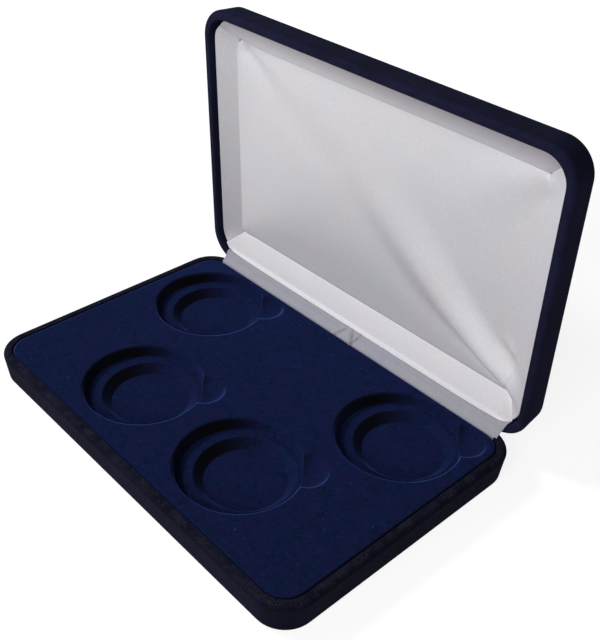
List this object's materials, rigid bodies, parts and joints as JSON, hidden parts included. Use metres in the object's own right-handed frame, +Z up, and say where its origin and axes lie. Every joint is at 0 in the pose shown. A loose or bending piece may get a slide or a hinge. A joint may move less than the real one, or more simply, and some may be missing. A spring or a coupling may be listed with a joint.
{
  "type": "coin display box",
  "caption": "Hinged presentation box in dark velour with a flocked platform of stepped round coin wells and thumb notches, and a satin-lined lid.",
  "frame": {"origin": "middle of the base's underside, on the face that rests on the table", "axes": "+X along the hinge, +Y towards the hinge side, +Z up"},
  "size_m": [0.1746, 0.127, 0.1279],
  "materials": {
    "velour": "near-black blue velour with a short dense pile",
    "flock": "dark blue flock on a formed sheet",
    "satin": "pale grey-white satin",
    "shell_plastic": "black moulded polystyrene",
    "grey_board": "grey board",
    "foot_card": "black grained card",
    "foam": "soft open foam",
    "hinge_steel": "plated steel strip"
  },
  "bodies": {
    "base": {"base_shell": "shell_plastic", "base_wrap": "velour", "base_foot_card": "foot_card", "platform_spacer": "grey_board", "coin_platform": "flock", "hinge_leaf_base": "hinge_steel", "hinge_pin": "hinge_steel", "hinge_rivets_base": "hinge_steel"},
    "lid": {"lid_shell": "shell_plastic", "lid_wrap": "velour", "lid_pad_card": "grey_board", "lid_foam_pad": "foam", "lid_satin_panel": "satin", "lid_liner_rear": "satin", "lid_liner_front": "satin", "lid_liner_left": "satin", "lid_liner_right": "satin", "hinge_leaf_lid": "hinge_steel", "hinge_rivets_lid": "hinge_steel", "hinge_cover_strip": "satin"}
  },
  "joints": [
    {"name": "lid_hinge", "type": "hinge", "parent": "base", "child": "lid", "pos_m": [0, 0.05673, 0.01365], "axis": [1, 0, 0], "range_deg": [0, 88], "deforming": ["hinge_cover_strip"]}
  ]
}
